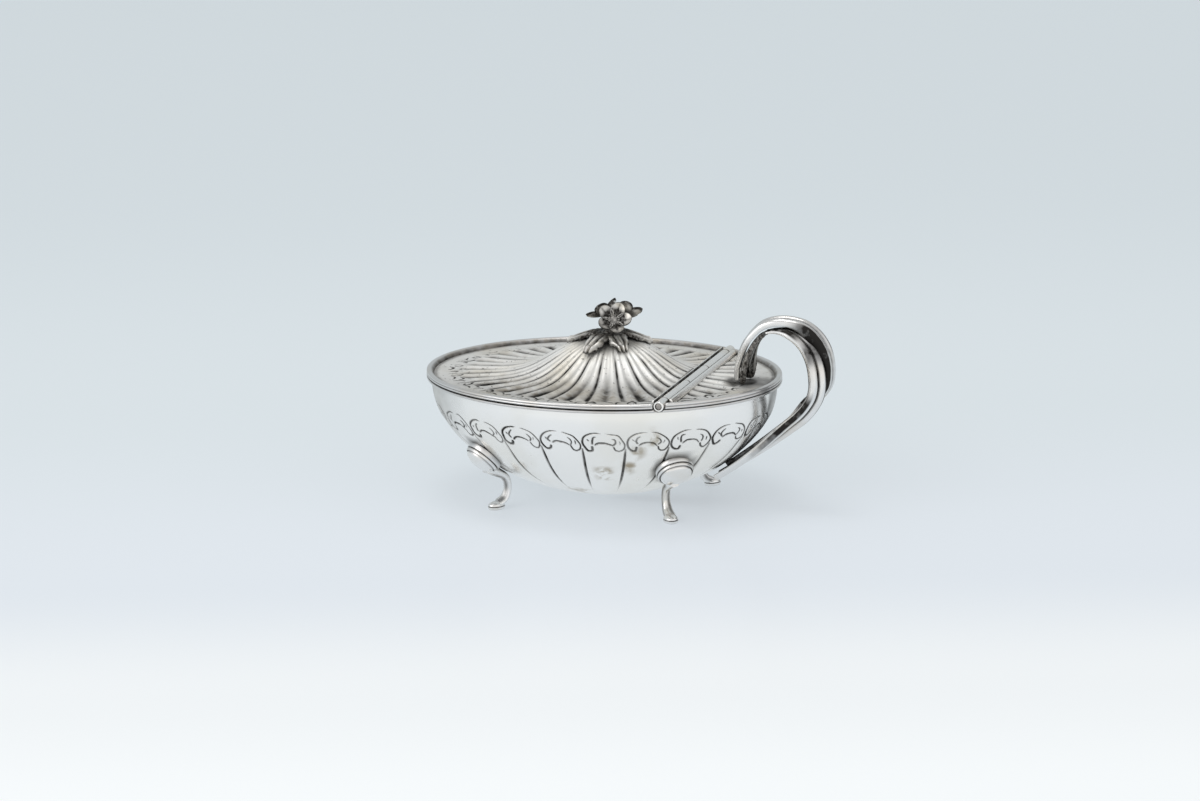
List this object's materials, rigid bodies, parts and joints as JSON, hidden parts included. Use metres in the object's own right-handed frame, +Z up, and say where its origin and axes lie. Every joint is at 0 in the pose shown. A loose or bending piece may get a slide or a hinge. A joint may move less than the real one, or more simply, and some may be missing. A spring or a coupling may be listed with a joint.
{
  "type": "parmesan cheese dish",
  "caption": "Oval footed silver dish with a fluted lid hinged across the bowl, a flower finial and a loop handle of crossed straps.",
  "frame": {"origin": "on the table, under the middle of the whole object", "axes": "+X along the oval towards the handle, +Y across the oval, +Z up"},
  "size_m": [0.1496, 0.1014, 0.0725],
  "materials": {
    "bright_silver": "polished silver with soft wear",
    "warm_silver": "polished silver with a warm tarnish",
    "dark_silver": "cast silver, dark in its recesses",
    "pin_metal": "dull metal"
  },
  "bodies": {
    "dish": {"bowl": "bright_silver", "bowl_rim_wire": "bright_silver", "rear_rim_wire": "bright_silver", "rear_lid": "warm_silver", "rear_hinge_leaf": "bright_silver", "rear_knuckle_front": "bright_silver", "rear_knuckle_middle": "bright_silver", "rear_knuckle_back": "bright_silver", "hinge_pin": "pin_metal", "handle_strap_back": "bright_silver", "handle_strap_front": "bright_silver", "handle_leaf": "dark_silver", "foot_front_right": "bright_silver", "foot_plate_front_right": "bright_silver", "foot_front_left": "bright_silver", "foot_plate_front_left": "bright_silver", "foot_back_left": "bright_silver", "foot_plate_back_left": "bright_silver", "foot_back_right": "bright_silver", "foot_plate_back_right": "bright_silver"},
    "opening_lid": {"lid": "warm_silver", "lid_rim_wire": "bright_silver", "lid_hinge_leaf": "bright_silver", "lid_knuckle_front": "bright_silver", "lid_knuckle_back": "bright_silver", "finial_stem": "dark_silver", "finial_washer": "pin_metal", "finial_nut": "pin_metal", "finial_leaf_rosette": "dark_silver", "finial_flower_front": "dark_silver", "finial_flower_left": "dark_silver", "finial_flower_right": "dark_silver"}
  },
  "joints": [
    {"name": "lid_hinge", "type": "hinge", "parent": "dish", "child": "opening_lid", "pos_m": [0.02477, 0, 0.0464], "axis": [0, 1, 0], "range_deg": [0, 86]}
  ]
}
